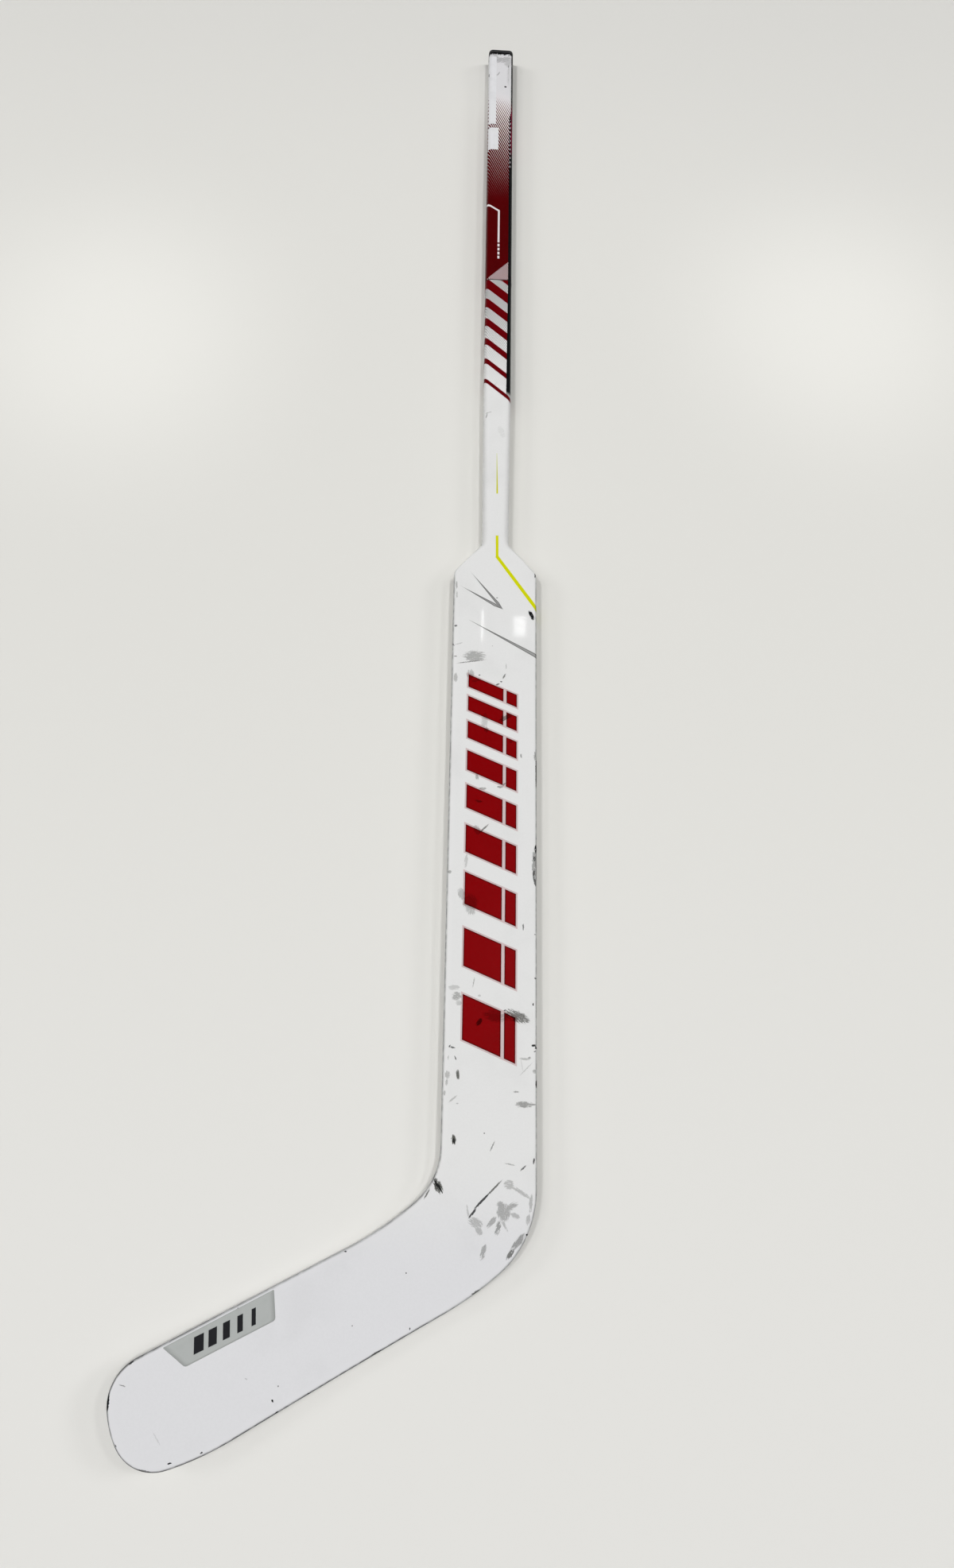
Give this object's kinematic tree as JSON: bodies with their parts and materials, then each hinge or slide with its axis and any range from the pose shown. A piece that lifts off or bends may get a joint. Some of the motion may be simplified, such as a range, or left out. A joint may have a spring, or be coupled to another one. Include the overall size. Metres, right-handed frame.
{
  "type": "hockey goalie stick",
  "caption": "Goalkeeper's ice hockey stick with a wide flat paddle, angled curved blade, hollow rectangular shaft and a pull-out butt plug.",
  "frame": {"origin": "middle of the paddle's flat back face, on the shaft's axis", "axes": "+Y up the shaft to the butt, +Z out of the front face, +X to the heel's side; the toe points to -X"},
  "size_m": [0.3544, 1.5379, 0.0247],
  "materials": {
    "painted_laminate": "white gloss lacquer with printed red and grey stripes, worn",
    "bare_laminate": "bare carbon laminate",
    "black_plastic": "black moulded plastic, slightly glossy",
    "white_film": "white sticker film",
    "grey_film": "light grey sticker film",
    "hard_core": "dense core, sanded",
    "foam": "rigid closed-cell foam"
  },
  "bodies": {
    "stick": {"shaft_upper_tube": "painted_laminate", "shaft_lower_tube": "painted_laminate", "front_skin": "painted_laminate", "back_skin": "painted_laminate", "edge_band": "painted_laminate", "splice_insert": "bare_laminate", "paddle_left_rib": "bare_laminate", "paddle_right_rib": "bare_laminate", "blade_bridge": "bare_laminate", "shaft_strip_sticker": "white_film", "shaft_label_sticker": "white_film", "toe_label": "grey_film", "shaft_tenon": "hard_core", "shoulder_block": "hard_core", "heel_block": "hard_core", "paddle_left_core": "foam", "paddle_center_core": "foam", "paddle_right_core": "foam", "blade_upper_core": "foam", "blade_lower_core": "foam"},
    "end_plug": {"butt_end_plug": "black_plastic"}
  },
  "joints": [
    {"name": "plug_pull", "type": "slide", "parent": "stick", "child": "end_plug", "axis": [0, 1, 0], "range_m": [0, 0.05]}
  ]
}
